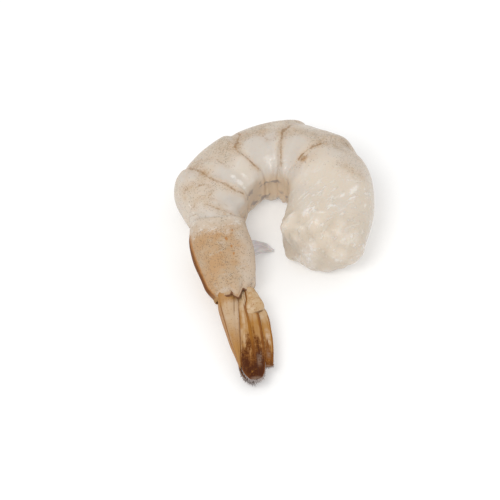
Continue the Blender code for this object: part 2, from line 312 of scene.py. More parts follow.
def addStudio(floor, light):
    # a square floor just under the part, an even sky and two lamps
    half = floor["size"] / 2
    mesh = bpy.data.meshes.new("floor")
    square = [(-half, -half, 0), (half, -half, 0), (half, half, 0), (-half, half, 0)]
    mesh.from_pydata(square, [], [(0, 1, 2, 3)])
    ground = addObject("floor", mesh)
    paint = Look("floorPaint", floor, "color")
    darker = tuple(c * floor["grain"] for c in floor["color"])
    grain = paint.noise(0.02, 2)
    paint.set(Base_Color=paint.mix(grain, paint.color, darker))
    mesh.materials.append(paint.material)
    ground.location.z = -floor["drop"]
    world = bpy.data.worlds.new("sky")
    bpy.context.scene.world = world
    world.use_nodes = True
    sky = world.node_tree.nodes["Background"]
    sky.inputs["Color"].default_value = (*light["sky"], 1)
    sky.inputs["Strength"].default_value = light["skyStrength"]
    addLight("keyLight", light["key"])
    addLight("fillLight", light["fill"])
    bpy.context.scene.view_settings.view_transform = "Standard"


addCamera(cameraSet)
addStudio(floorSet, lightSet)
print("stage 2: camera, floor and light")


# The body's spine and sections, shared by the flesh and the shell.

spineSet = {"start": (9.19, -3.01), "cutHeading": 69.8, "curl": 211, "curlFrom": 12.6, "curlTo": 66.6,
            "ease": 1.5, "fleshLength": 89, "tableEnd": 99, "tableRows": 960, "power": 2.2,
            # how far the flesh is pressed into the table, how high the shell lifts its end, and from where
            "pressed": 0.9, "shellLift": 1.05, "liftFrom": 0.8, "liftEase": 0.9}
# distance from the cut end, reach to the back, reach to the belly, width across
sections = np.array([
    (0, 10, 9.8, 16.4), (9, 10.6, 11.4, 18.4), (17, 10.6, 11.8, 18.9), (25, 11, 10.9, 18.8),
    (33, 10.5, 9.2, 18.2), (41, 9.6, 8.5, 17.6), (48, 8.5, 8.8, 17.2), (55, 9.6, 9, 16.4),
    (61, 9.7, 8.6, 15.4), (64.5, 7.4, 7.9, 13.6), (67.5, 6.2, 6.5, 12), (73, 6.5, 6.7, 11.2),
    (80, 6.5, 7.4, 10.2), (86, 5.4, 6.6, 8.9), (93, 3.9, 4.7, 7.2)])
# where each joint between the segments crosses the back, the side and the belly, and its step
joints = np.array([
    (26, 30.2, 32.5, 0.9), (35.5, 39, 38.6, 1), (47, 50.2, 45.5, 0.8), (57.5, 60.1, 61, 0.7),
    (66, 69, 68, 0)])

spineTable = np.linspace(0, spineSet["tableEnd"], spineSet["tableRows"])
bend = (soften((spineTable - spineSet["curlFrom"]) / spineSet["ease"])
        * soften((spineSet["curlTo"] - spineTable) / spineSet["ease"]))
headings = np.radians(spineSet["cutHeading"] + spineSet["curl"] * np.cumsum(bend) / bend.sum())
spineX = spineSet["start"][0] + np.cumsum(np.cos(headings)) * spineTable[1]
spineY = spineSet["start"][1] + np.cumsum(np.sin(headings)) * spineTable[1]


def halfWidth(s):  # half the upright width at a distance from the cut end
    return throughPoints(s, sections[:, 0], sections[:, 3]) / 2


def jointLine(joint, angle):
    # a joint's distance from the cut end round the body, weighed by squares of the cosine
    back = unit(np.cos(angle)) ** 2
    belly = unit(-np.cos(angle)) ** 2
    return joint[0] * back + joint[2] * belly + joint[1] * (1 - back - belly)


def bodyPoint(s, angle, grow, shrink=1):
    # a superellipse round the spine, with its own reach on the back's side and the belly's;
    # angle 0 is the back, a quarter turn the upper side, and grow moves the skin outwards
    heading = np.interp(s, spineTable, headings)
    c, q = np.cos(angle), np.sin(angle)
    reach = np.where(c > 0, throughPoints(s, sections[:, 0], sections[:, 1]),
                     throughPoints(s, sections[:, 0], sections[:, 2]))
    power = 2 / spineSet["power"]
    back = signedPower(c, power) * reach * shrink + c * grow
    up = signedPower(q, power) * halfWidth(s) * shrink + q * grow
    inShell = soften((s - joints[-1, 0] - spineSet["liftFrom"]) / spineSet["liftEase"])
    lift = halfWidth(s) - spineSet["pressed"] * (1 - inShell) + spineSet["shellLift"] * inShell
    x = np.interp(s, spineTable, spineX) + np.sin(heading) * back
    y = np.interp(s, spineTable, spineY) - np.cos(heading) * back
    return np.stack(np.broadcast_arrays(x, y, lift + up), axis=-1)


# The flesh.

fleshSet = {
    "rows": 430, "cols": 208, "frontRows": 70, "rearRows": 9, "cutRounding": 7.5, "tailRounding": 1.2,
    "cutPower": 2.3, "groove": 0.32, "grooveWidth": 0.75, "stepLength": 5, "lobes": 1.2, "lobeReach": 16,
    "lumps": 58, "lumpSize": (1.7, 3.3), "lumpRise": 1, "lumpReach": 12, "seed": 17,
    "saddle": (0.45, 61.5, 5),  # the rise on the back before the shell: height, place, reach
    "bellyGroove": (0.7, 15),  # depth, degrees wide
    # stubs amid each segment: height, share of its length, degrees from the belly and wide; and those
    # before each joint: height, how far before it, reach, degrees from the belly and wide
    "stubs": (0.6, 0.24, 34, 12), "rearStubs": (0.25, 1.5, 1.1, 14, 9), "unevenness": 0.07, "inset": 0.06,
    "lineDepth": 0.1, "glintHeight": 0.1, "plateauHeight": 0.14,
    "finish": dict(Coat_Roughness=0.1, Coat_IOR=1.38, IOR=1.36, Subsurface_Weight=0.22,
                   Subsurface_Scale=0.002, Subsurface_Radius=(1, 0.65, 0.45)),
    "cream": (0.66, 0.575, 0.475), "cool": (0.595, 0.54, 0.485), "pale": (0.75, 0.71, 0.665),
    "plateau": (0.525, 0.478, 0.43), "tan": (0.475, 0.36, 0.245), "brown": (0.25, 0.125, 0.032),
    "speck": (0.17, 0.12, 0.08), "ink": (0.2, 0.18, 0.2), "amber": (0.47, 0.25, 0.08),
    "gleam": (0.77, 0.74, 0.705), "straw": (0.56, 0.475, 0.375), "sandy": (0.66, 0.5, 0.34),
    "milkAndSheen": (0.86, 0.83, 0.8),
    # swellings: place along and round, reach along and round, height
    "swellings": [(2.2, 154, 2.6, 4.5, 1.3), (5, 205, 3, 4, 0.6), (7.8, 150, 1.3, 3, -0.5),
                  (27, 30, 1.2, 5, -0.45), (29.2, 36, 1.4, 5, 0.3), (33.6, 44, 1.2, 3, -0.3)],
}
# lines on the flesh: how dark, how wide, and a run of (distance from the cut end, degrees from the back)
fleshLines = [
    (0.85, 0.42, [(47.3, 45), (47.5, 63), (49.2, 78), (50.6, 86), (50.9, 94), (50.1, 106), (49.7, 115),
                  (49.3, 125), (48, 135)]),
    (0.75, 0.45, [(58.2, 38), (59.1, 65), (60.2, 78), (61, 88), (61.3, 96), (61.9, 110), (62.4, 124),
                  (61.7, 142)]),
    (0.85, 0.38, [(37.6, 58), (38.8, 82), (38.6, 102), (38, 122), (37.6, 134)]),
    (0.8, 0.3, [(29.6, 74), (30.2, 89), (30.4, 98), (30.6, 106)]),
    (1.2, 0.36, [(30.7, 106), (30.8, 116)]),
    (0.74, 0.95, [(29.5, 107), (29.9, 113)]),
    (0.66, 0.4, [(66.4, 71), (68.3, 91), (69.3, 107), (70.6, 128)]),
    (0.48, 0.28, [(60.4, 47), (58.4, 50), (56.9, 53), (56, 62), (55.5, 80), (56.4, 96)]),
    (0.52, 0.3, [(63.6, 30), (62.5, 37), (62.2, 58), (62.1, 78), (62.4, 84)]),
    (0.5, 0.26, [(63.3, 89), (64.4, 82), (65.2, 74)]),
    (0.46, 0.28, [(65.8, 40), (64.6, 62), (64.9, 80), (66.2, 98), (67.4, 112)]),
    (0.5, 0.4, [(21.9, 70), (20.6, 62), (20, 57), (19.9, 48)]),
    (0.5, 0.36, [(43.3, 78), (43.2, 86), (42.6, 92), (41.7, 94), (40.2, 92)]),
]
# soft stains: place along and round, reach along and round, strength
fleshStains = [(29.3, 111, 1.2, 1.1, 1), (59.6, 72, 1.6, 1.2, 0.7), (43, 80, 1.2, 1, 0.5),
               (70.1, 104, 1.4, 1, 0.5), (60, 74, 2.6, 1.4, 0.4), (37, 70, 1.6, 2.6, 0.35),
               (20.6, 62, 1.6, 0.8, 0.35), (67.4, 96, 1.2, 2.4, 0.25)]
# smooth grey plateaus: from and to along, from and to in degrees from the back
plateaus = [(40.4, 48.6, 84, 128), (56.4, 60.4, 88, 128), (32, 37.6, 84, 122), (58.6, 61.4, 28, 64),
            (63.4, 67.6, 88, 140)]
# glints where painted highlight goes on the milky wet fibre, each also raised a little: place along and
# round, length, width, degrees from the spine, strength
glints = [
    (12, 124, 4.2, 0.75, -32, 0.9), (7.3, 92, 2.2, 0.9, -60, 0.8), (10.3, 81, 2, 1, -40, 0.8),
    (13.7, 76, 2.8, 0.7, -32, 0.9), (16, 62, 3.8, 1.1, -36, 1), (17.3, 43, 1.2, 0.7, -20, 0.6),
    (14.4, 36, 1.6, 0.9, -20, 0.8), (6, 133, 3, 0.7, -40, 0.7), (14.6, 112, 2.4, 0.5, -34, 0.6),
    (58.2, 112, 1.5, 1.9, 10, 0.9), (58.9, 126, 2.2, 3.4, 14, 1), (59, 140, 1.4, 1.8, 10, 0.8),
    (55.2, 128, 1.6, 3.2, 12, 0.8), (42.6, 130, 2.6, 0.9, 30, 0.7), (40.4, 126, 1.6, 0.8, 40, 0.7),
    (36.6, 128, 2.2, 0.6, 10, 0.6), (35.4, 120, 2.4, 0.5, -20, 0.5), (65, 34, 1.6, 0.6, 20, 0.8),
    (66.8, 30, 1.4, 0.7, 10, 0.7), (62, 20, 1, 0.8, 0, 0.6),
]
perRadian = 8.6  # millimetres of skin to a radian round the body


def foldedPlace(angle):  # degrees from the back, the same on both sides
    return np.degrees(np.abs(np.angle(np.exp(1j * angle))))


def lineGap(s, side, points):
    # millimetres to the nearest piece of a run of points, on the skin rolled out flat
    scale = np.radians(1) * perRadian
    x, y = np.broadcast_arrays(s, side * scale)
    best = np.full(x.shape, 99.0)
    for (s0, a0), (s1, a1) in zip(points[:-1], points[1:]):
        dx, dy = s1 - s0, (a1 - a0) * scale
        t = np.clip(((x - s0) * dx + (y - a0 * scale) * dy) / (dx * dx + dy * dy), 0, 1)
        best = np.minimum(best, np.hypot(x - s0 - t * dx, y - a0 * scale - t * dy))
    return best


def blob(s, side, place, size, tilt=0):
    # a bell with its own length and width, turned by the tilt, on the skin rolled out flat
    x, y = s - place[0], np.radians(side - place[1]) * perRadian
    c, q = np.cos(np.radians(tilt)), np.sin(np.radians(tilt))
    return np.exp(-(((x * c + y * q) / size[0]) ** 2) - (((y * c - x * q) / size[1]) ** 2))


def fleshRelief(s, angle, look):
    # at each joint: a step up behind it that dies away and a shallow groove, both strongest on the back;
    # along the belly a groove between two rows of low stubs
    side = foldedPlace(angle)
    belly = unit(-np.cos(angle)) ** 2
    strength = 1.7 - 1.25 * ease(side, 20, 80)
    relief = np.zeros(np.broadcast(s, angle).shape)
    for n, joint in enumerate(joints):
        behind = s - jointLine(joint, angle) - 0.3 * waves(0 * angle, angle, 40 + n, 4, (0, 1), (2, 9))
        proud = joint[3] * soften(behind / 0.3) * np.exp(-np.clip(behind, 0, None) / look["stepLength"])
        relief += proud * (1.25 - 0.25 * ease(side, 20, 60) - 0.55 * belly)
        relief -= look["groove"] * strength * bump(behind, 0, look["grooveWidth"])
    for dark, width, points in fleshLines:
        relief -= look["lineDepth"] * dark * bump(lineGap(s, side, points), 0, width + 0.15)
    for s0, s1, a0, a1 in plateaus:
        inside = window(s, s0, s1, 0.7, 0.7) * window(side, a0, a1, 6, 6)
        relief += look["plateauHeight"] * inside
    for s0, a0, length, width, tilt, strong in glints:
        glint = blob(s, side, (s0, a0), (length / 2, width / 1.4), tilt)
        relief += look["glintHeight"] * strong * glint
    for s0, a0, length, width, rise in look["swellings"]:
        relief += rise * blob(s, side, (s0, a0), (length, width))
    rise, place, long = look["saddle"]
    relief += rise * bump(s, place, long) * (1 - ease(side, 30, 75))
    fromBelly = 180 - side
    depth, wide = look["bellyGroove"]
    relief -= depth * bump(fromBelly, 0, wide)
    for front, rear in zip(joints[:-1, 2], joints[1:, 2]):
        rise, long, place, wide = look["stubs"]
        middle = (front + rear) / 2
        relief += rise * bump(s, middle, long * (rear - front)) * bump(fromBelly, place, wide)
        rise, before, long, place, wide = look["rearStubs"]
        relief += rise * bump(s, rear - before, long) * bump(fromBelly, place, wide)
    relief += look["unevenness"] * waves(s, angle, 7, 14, (0.25, 0.8), (1, 7))
    last = jointLine(joints[-1], angle)
    return relief * soften((last - s) / 0.3) - look["inset"]


def skinNormals(grid):
    # unit normals of a ringed grid: the cross product of its steps round and along
    around = np.roll(grid, -1, axis=1) - np.roll(grid, 1, axis=1)
    normal = np.cross(around, np.gradient(grid, axis=0))
    normal = normal / np.maximum(np.linalg.norm(normal, axis=-1, keepdims=True), 1e-9)
    outwards = ((grid - grid.mean(1, keepdims=True)) * normal).sum(-1)[len(grid) // 2].mean()
    return normal * np.sign(outwards)


def cutEnd(s, angle, look, skin, shrink):
    # torn muscle: broad lobes with round lumps on them. Each lump is a bell in space about a seeded place,
    # and the fourth root of their summed fourth powers joins them in soft creases
    fade = unit(1 - s / look["lobeReach"])
    turn = 2.2 * s / look["lobeReach"]
    lobes = 0.55 * np.sin(3 * angle + 0.7 + turn) + 0.45 * np.sin(5 * angle + 2.4 - 2 * turn)
    rng = np.random.default_rng(look["seed"])
    lumps = np.zeros(np.broadcast(s, angle).shape)
    middles = skin.mean(1, keepdims=True)
    step = np.linalg.norm(np.diff(skin, axis=0), axis=-1).mean(1)
    area = step * np.linalg.norm(skin - middles, axis=-1).mean(1)[:-1] * (s[:-1, 0] < look["lumpReach"])
    for row in rng.choice(len(area), look["lumps"], p=area / area.sum()):
        middle = skin[row, rng.integers(skin.shape[1])]
        size, rise = rng.uniform(*look["lumpSize"]), rng.uniform(0.5, 1)
        lumps = lumps + (rise * np.exp(-((skin - middle) ** 2).sum(-1) / size**2)) ** 4
    lumps = lumps**0.25
    reach = 1 - ease(s, look["lumpReach"] - 8, look["lumpReach"] + 1)
    return look["lobes"] * fade**1.5 * lobes * shrink, (lumps - 0.5) * reach


def makeFlesh(look):
    # rows along the spine, closer together at both rounded ends, and columns round the body
    front = look["cutRounding"] * (1 - np.cos(np.linspace(0, np.pi / 2, look["frontRows"])[1:]))
    rear = look["tailRounding"] * (1 - np.cos(np.linspace(np.pi / 2, 0, look["rearRows"])[:-1]))
    rear = spineSet["fleshLength"] - rear
    middle = np.linspace(front[-1], rear[0], look["rows"] - len(front) - len(rear) + 2)[1:-1]
    s = np.concatenate([front, middle, rear])[:, None]
    angle = (np.linspace(0, 2 * np.pi, look["cols"], endpoint=False) - np.pi / 2)[None, :]
    shrink = (1 - unit(1 - s / look["cutRounding"]) ** look["cutPower"]) ** (1 / look["cutPower"])
    fromRear = unit(1 - (spineSet["fleshLength"] - s) / look["tailRounding"])
    shrink = np.clip(shrink * (1 - 0.25 * fromRear**2), 0.015, 1)
    skin = bodyPoint(s, angle, 0, shrink)
    lobes, lumps = cutEnd(s, angle, look, skin, shrink)
    grid = bodyPoint(s, angle, fleshRelief(s, angle, look) * shrink + lobes, shrink)
    # the lumps stand straight out from the skin, at the very end too
    grid += skinNormals(grid) * (look["lumpRise"] * lumps)[..., None]
    grid[..., 2] = np.maximum(grid[..., 2], 0)
    marks = fleshMarks(s, angle)
    marks["lump"] = lumps
    mesh = gridMesh("flesh_skin", grid, marks, closed=True)
    return addPiece(mesh, fleshLook(look), "flesh", "flesh")


def fleshMarks(s, angle):
    # line, stain: how dark the drawn lines and their surroundings are; specks: how thick the dots lie;
    # the glints' painted highlight; smooth: the plateaus; fromBack: degrees; along: millimetres from the
    # cut end
    side = foldedPlace(angle) + 0 * s
    line, stain, smooth, milkAndSheen = (np.zeros(side.shape) for _ in range(4))
    for dark, width, points in fleshLines:
        gap = lineGap(s, side, points)
        line = np.maximum(line, dark * bump(gap, 0, width))
        stain = np.maximum(stain, dark * 0.5 * bump(gap, 0, width * 3.2))
    for joint in joints:
        gap = s - jointLine(joint, angle) - 0.25 * waves(0 * angle, angle, 60, 4, (0, 1), (2, 9))
        around = 0.6 * (1 - ease(side, 36, 60)) + 0.25 * ease(side, 138, 150)
        line = np.maximum(line, around * bump(gap, 0, 0.4))
    for s0, a0, long, wide, strong in fleshStains:
        stain = np.maximum(stain, strong * blob(s, side, (s0, a0), (long, wide)))
    for s0, s1, a0, a1 in plateaus:
        low, high = ease(side, a0 - 9, a0 + 9), ease(side, a1 - 12, a1 + 12)
        smooth = np.maximum(smooth, window(s, s0, s1, 0.9, 1.1) * low * (1 - high))
    for s0, a0, length, width, tilt, strong in glints:
        milkAndSheen = np.maximum(milkAndSheen, strong * blob(s, side, (s0, a0), (length / 2, width / 2), tilt))
    # the dots lie in a band along the back that widens towards the tail
    low = 74 + 18 * ease(s, 46, 60)
    band = (1 - ease(side, low, low + 26)) * ease(s, 17, 28) * (1 - 0.4 * ease(s, 54, 60))
    patch = 0.5 + 0.5 * waves(s, angle, 31, 9, (0.15, 0.6), (1, 6))
    specks = unit(band * np.clip(patch + 0.45, 0.25, 1) + stain) * (1 - smooth)
    return {"line": line, "stain": stain, "specks": specks, "milkAndSheen": milkAndSheen, "smooth": smooth,
            "fromBack": side, "along": s + 0 * angle}


def fleshLook(look):
    # clouds of two greys, torn fibres on the thick end, a browner back and the drawn lines
    m = Look("rawFlesh", look, "cream")
    fromBack, along = m.mark("fromBack"), m.mark("along")
    smooth, milkAndSheen = m.mark("smooth"), m.mark("milkAndSheen")
    cloud = m.noise(0.11, 2).fade(0.38, 0.66)
    veil = m.noise(0.35, 3, 0.6).fade(0.5, 0.75)
    m.tint(cloud * 0.5 + along.fade(20, 34) * 0.4, "cool")
    fibre = m.noise(1, 3, 0.6, on=m.stretch(m.turn(m.spot, 24), (0.95, 0.2, 0.5)))
    end = 1 - along.fade(4, 22)
    # torn fibres slant across the thick end, in milky streaks and blotches over straw; the milky white is
    # partly the fibre's own and partly painted highlight
    slant = m.turn(m.spot, -38)
    streaks = m.noise(1, 4, 0.65, on=m.stretch(slant, (0.22, 1, 0.6)))
    blotch = m.noise(1, 3, 0.6, on=m.stretch(slant, (0.36, 0.85, 0.6)))
    m.tint(fibre.fade(0.5, 0.72) * (0.16 + end * 0.2), "pale")
    m.tint(streaks.fade(0.42, 0.3) * end * 0.3, "straw")
    milkyAndSheen = (streaks.fade(0.53, 0.62) * 0.4).most(blotch.fade(0.575, 0.635) * 0.8)
    milkyAndSheen = milkyAndSheen * (1 - along.fade(15, 27))
    m.tint(milkyAndSheen * 0.6, "milkAndSheen")
    m.tint(veil * 0.15, "pale")
    # on the cut end's lumps: straw in the creases between them is painted shade, and gleam on their crests
    # is painted highlight
    lump = m.mark("lump")
    m.tint(end * (0.4 - lump).fade(0.1, 0.7) * 0.7, "straw")
    m.tint(end * lump.fade(0.1, 0.55) * m.noise(0.6, 3).fade(0.5, 0.66) * 0.8, "gleam")
    m.tint(smooth * (0.45 + veil * 0.3), "plateau")
    # browner along the back with its dots; under the belly a sandy tan, partly the belly's own colour and
    # partly painted light that lifts the shade inside the curl
    share = m.mark("specks")
    haze = m.noise(0.7, 4, 0.7).fade(0.3, 0.75)
    m.tint(share * (0.4 + haze * 0.42), "tan")
    m.tint(fromBack.fade(142, 166) * along.fade(14, 26) * 0.75, "sandy")
    dots = m.dots(2.9, 0.42, share * 0.85).most(m.dots(1.9, 0.32, share * 0.6))
    m.tint(dots * 0.5, "speck")
    # the drawn lines are broken and grainy, with a soft stain beside them
    grain = m.noise(1.7, 3, 0.75)
    stain = m.mark("stain") * (haze * 0.65 + 0.35)
    m.tint(stain * 0.75, "amber")
    gaps = m.noise(0.45, 3, 0.7)
    line = (m.mark("line") + (grain - 0.5) * 1.5 + (gaps - 0.5) * 1.3).fade(0.3, 1)
    m.tint(line * 0.66, "brown")
    # the nerve cord's blots along the belly
    cord = fromBack.near(164, 3, 12) * m.noise(0.42, 3).fade(0.52, 0.62)
    m.tint(cord * 0.62 * along.fade(24, 34), "ink")
    # painted wet highlight over the glints, in the milky paint
    wetSheen = milkAndSheen * (0.4 + fibre * 0.9) * (m.noise(1.1, 3, 0.7) * 3.2 - 0.7)
    m.tint(wetSheen.fade(0.15, 0.75) * 0.5, "milkAndSheen")
    rough = 0.42 + m.noise(0.8, 3) * 0.15 - wetSheen.least(1) * 0.2 - milkyAndSheen * 0.15
    m.set(Base_Color=m.color, Roughness=rough, Coat_Weight=0.25 + cloud * 0.2)
    m.relief((0.05, m.noise(0.9, 4, 0.6)), (0.12, fibre * (end + 0.3)), (-0.03, dots), (0.05, veil),
             (0.12, milkyAndSheen), (0.1, streaks * end))
    return m.material


makeFlesh(fleshSet)
print("stage 3: flesh")


# The tail shell.

shellSet = {
    "rows": 150, "cols": 190, "halfAngle": 150, "behindJoint": 1.2,
    # the rear margin: degrees from the back, distance from the cut end
    "margin": [(0, 92.2), (8, 92), (20, 92.5), (34, 93), (48, 92.7), (60, 92.8), (73, 92.8), (80, 92.4),
               (88, 93.5), (99, 94.2), (106, 93.2), (115, 91.7), (126, 91.9), (138, 91.6), (150, 90.4)],
    "clear": 0.68, "thickness": 0.22, "keel": 0.6, "keelWidth": 6, "ripple": 0.07,
    "curlIn": 1.25, "frontCurl": 1.2, "rims": [(0.16, 0.985), (-0.14, 0.945)], "rimWidth": 0.02,
    "laidOut": (24, 34),
    "finish": dict(Coat_Weight=0.06, Coat_Roughness=0.2, Specular_IOR_Level=0.35, IOR=1.4,
                   Subsurface_Weight=0.05, Subsurface_Scale=0.0015, Subsurface_Radius=(1, 0.6, 0.35)),
    "pale": (0.58, 0.49, 0.4), "orange": (0.475, 0.29, 0.15), "sand": (0.475, 0.36, 0.25),
    "brown": (0.13, 0.038, 0.004), "rust": (0.4, 0.15, 0.015), "speck": (0.12, 0.075, 0.045),
    "honey": (0.43, 0.255, 0.1), "white": (0.7, 0.645, 0.585),
}


def makeShell(look):
    # the body's own skin, moved out by the clearance, from behind the last joint to the rear margin,
    # with a keel along the back, a few shallow dents and a margin that hugs the fan
    angle = np.radians(np.linspace(-look["halfAngle"], look["halfAngle"], look["cols"]))[None, :]
    share = (np.linspace(0, 1, look["rows"]) ** 0.85)[:, None]
    side = np.degrees(np.abs(angle))
    front = jointLine(joints[-1], angle) + look["behindJoint"]
    margin = np.array(look["margin"])
    s = front + (throughPoints(side, margin[:, 0], margin[:, 1]) - front) * share
    keel = look["keel"] * bump(side, 0, look["keelWidth"]) * ease(share, 0.06, 0.35)
    ripple = look["ripple"] * waves(s, angle, 5, 12, (0.2, 0.7), (1, 6)) * ease(share, 0, 0.1)
    curl = look["curlIn"] * ease(share, 0.8, 1) * (1 - 0.3 * bump(side, 0, 20))
    curl += look["frontCurl"] * (1 - ease(share, 0, 0.08))
    rim = sum(rise * bump(share, place, look["rimWidth"]) for rise, place in look["rims"])
    grid = bodyPoint(s, angle, look["clear"] + keel + ripple + rim - curl)
    mesh = gridMesh("shell_sleeve", grid, {"share": share, "side": side})
    piece = addPiece(mesh, shellLook(look), "tail_shell", "tail_shell")
    return thicken(piece, look["thickness"], 1)


def shellLook(look):
    # orange and sand with fine dots, paler at the front and below, and a dark keel and rear margin
    m = Look("tailShell", look, "orange")
    share, side = m.mark("share"), m.mark("side")
    cloud = m.noise(0.16, 3, 0.6)
    spread = m.noise(0.5, 4, 0.75)
    m.tint(cloud.fade(0.38, 0.62) * 0.75, "sand")
    m.tint(spread.fade(0.5, 0.7) * 0.55, "orange")
    m.tint(m.noise(1.6, 3, 0.7).fade(0.5, 0.7) * 0.4, "honey")
    # paler where the segment before it lay over it, and towards the belly
    front = 1 - (share + (cloud - 0.5) * 0.35 + (spread - 0.5) * 0.3).fade(0.07, 0.3)
    low = (side + (cloud - 0.5) * 50 + (spread - 0.5) * 30).fade(94, 130)
    m.tint((front * 0.92).most(low * 0.7), "pale")
    scuff = m.noise(0.32, 4, 0.7).fade(0.56, 0.68)
    m.tint(scuff * 0.4, "pale")
    ruffle = m.noise(1, 4, 0.7, on=m.lay(0.7, 0.28)).fade(0.5, 0.62)
    m.tint(ruffle * front * 0.6, "white")
    thick = m.noise(0.4, 2).fade(0.35, 0.6) * (1 - front.most(low * 0.8) * 0.75)
    dots = m.dots(3.5, 0.42, thick * 0.55 + 0.14).most(m.dots(2.3, 0.33, thick * 0.4 + 0.05))
    m.tint(dots * 0.66, "speck")
    flecks = m.dots(0.9, 0.3, 0.2, on=m.lay(0.5, 1)) * side.near(96, 6, 28)
    m.tint(flecks * 0.7, "rust")
    # the keel's dark line with a glow beside it, and the brown rear margin
    keel = 1 - (side + (cloud - 0.5) * 4 + (spread - 0.5) * 8 - share * 3).fade(1.5, 7)
    keel = keel * share.fade(0.12, 0.24)
    glow = (1 - (side + (spread - 0.5) * 12).fade(7, 17)) * share.fade(0.12, 0.3)
    m.tint(glow * 0.8, "rust")
    m.tint(keel * (0.7 + spread * 0.4), "brown")
    warm = share.fade(0.86, 0.97)
    m.tint(warm * 0.3, "orange")
    band = share.near(0.925, 0.005, 0.035) * side.near(62, 22, 46)
    m.tint(band * (0.2 + spread * 0.5), "pale")
    corner = (1 - side.fade(36, 52)) * share.fade(0.945, 0.985)
    m.tint(corner * 0.7, "honey")
    notch = side.near(82, 1, 5) * share.fade(0.955, 0.985)
    rim = share.fade(0.976, 0.988) * (0.25 + side.fade(36, 54) * 0.75)
    m.tint(rim.most(notch) * 0.92, "brown")
    m.set(Base_Color=m.color, Roughness=0.46 + cloud * 0.15)
    m.relief((0.05, m.noise(1.1, 3, 0.6)), (-0.04, dots), (0.06, scuff))
    return m.material


makeShell(shellSet)
print("stage 4: tail shell")


# The tail fan.

fanSet = {"heading": 277, "rootHeight": 4.9, "tipHeight": 3.2, "length": 28.3}


def fanPoint(along, back, up):
    # a straight frame from the flesh's end: along the fan, towards the back, up from its mid-plane
    root = bodyPoint(spineSet["fleshLength"], 0, 0, 0)
    along, back, up = np.broadcast_arrays(along, back, up)
    turn = np.radians(fanSet["heading"])
    x = root[0] + np.cos(turn) * along + np.sin(turn) * back
    y = root[1] + np.sin(turn) * along - np.cos(turn) * back
    middle = fanSet["rootHeight"] + (fanSet["tipHeight"] - fanSet["rootHeight"]) * along / fanSet["length"]
    return np.stack([x, y, middle + up], axis=-1)


def ringStations(rings, share):
    # distance along the fan at a share of the piece's length, and its stations' other columns there
    rings = np.array(rings)
    along = rings[0, 0] + (rings[-1, 0] - rings[0, 0]) * share
    return along, *(throughPoints(along, rings[:, 0], column) for column in rings[:, 1:].T)


telsonSet = {
    "rows": 150, "cols": 72,
    # distance along the fan, the middle and half the reach towards the back, half the thickness
    "rings": [(0.3, 1, 2.1, 2.6), (2, 1.2, 2.6, 3.1), (4.2, 1.35, 2.65, 3), (7, 1.3, 2.5, 2.5),
              (10, 1.25, 2.2, 2.15), (13, 1.15, 1.85, 1.85), (17, 1.1, 1.3, 1.45), (20, 0.95, 0.8, 1.05),
              (23, 0.85, 0.3, 0.6), (24.2, 0.85, 0.04, 0.12)],
    "sand": (0.48, 0.305, 0.15), "amber": (0.38, 0.175, 0.033), "brown": (0.13, 0.045, 0.008),
    "pale": (0.54, 0.405, 0.28), "rust": (0.21, 0.068, 0.006), "rind": (0.33, 0.115, 0.008),
    "shine": (0.66, 0.54, 0.39),
    # ridges and hollows of the flat side: height, degrees from the back, degrees wide
    "ridges": [(-0.2, 62, 14), (0.12, 40, 8), (-0.15, 108, 10)], "powers": (0.75, 0.4),
    "laidOut": (24, 16),
    "finish": dict(Coat_Weight=0.05, Coat_Roughness=0.2, IOR=1.4, Specular_IOR_Level=0.3),
}


def makeTelson(look):
    # rings of a squarish superellipse between the stations, with ridges and hollows along its sides
    share = np.linspace(0, 1, look["rows"])[:, None] ** 0.95
    along, middle, reach, thick = ringStations(look["rings"], share)
    angle = np.linspace(0, 2 * np.pi, look["cols"], endpoint=False)[None, :]
    c, q = np.cos(angle), np.sin(angle)
    side = foldedPlace(angle)
    back = signedPower(c, look["powers"][0]) * reach
    up = signedPower(q, look["powers"][1]) * thick * (0.93 + 0.07 * c)
    swell = sum(rise * bump(side, place, wide) for rise, place, wide in look["ridges"])
    swell = swell * unit(thick / 2)
    grid = fanPoint(along, middle + back + 0.3 * swell * c, up + np.sign(q) * swell)
    mesh = gridMesh("telson_spike", grid, {"share": share, "fromBack": side}, closed=True)
    return addPiece(mesh, telsonLook(look), "tail_fan", "telson")


def telsonLook(look):
    # sand and amber with streaks along it, a painted highlight along the ridge and a soft one in the
    # middle, and rust edges
    m = Look("telsonHorn", look, "sand")
    share, fromBack = m.mark("share"), m.mark("fromBack")
    cloud = m.noise(0.25, 3, 0.65)
    m.tint(cloud.fade(0.35, 0.65), "pale")
    m.tint(share.fade(0.35, 0.75) * 0.8, "amber")
    streak = m.noise(1, 3, on=m.lay(0.15, 1.6))
    m.tint(streak.fade(0.46, 0.7) * 0.45, "amber")
    m.tint((1 - fromBack.fade(22, 40)) * (0.3 + cloud.fade(0.4, 0.6) * 0.4), "amber")
    # painted highlight along the ridge
    ridge = fromBack.near(41, 1.5, 6)
    m.tint(ridge * share.fade(0.35, 0.6) * 0.6, "shine")
    edge = fromBack.near(33, 4, 11)
    m.tint(edge * share.fade(0.04, 0.2) * 0.85, "rust")
    m.tint((1 - fromBack.fade(14, 26)) * (0.1 + streak.fade(0.38, 0.62) * 0.7), "rind")
    # amber below the shell's margin, a painted soft highlight in the middle, and a short dark stroke
    top = share + (cloud - 0.5) * 0.08 + fromBack * 0.0006
    centreHighlight = top.fade(0.22, 0.3) * (1 - top.fade(0.42, 0.66)) * fromBack.fade(40, 56)
    m.tint(centreHighlight * 0.5, "pale")
    m.tint((1 - top.fade(0.22, 0.29)) * 0.75, "amber")
    stroke = 1 - (fromBack - 124 + share * 60).abs().fade(1.5, 6)
    m.tint(stroke * (1 - share.fade(0.3, 0.38)) * 0.5, "brown")
    m.tint(fromBack.fade(140, 156) * 0.7, "rust")
    dots = m.dots(2.6, 0.42, 0.35)
    m.tint(dots * 0.4, "rust")
    m.set(Base_Color=m.color, Roughness=0.44 + cloud * 0.15)
    m.relief((0.05, m.noise(1.3, 3)), (0.1, streak))
    return m.material


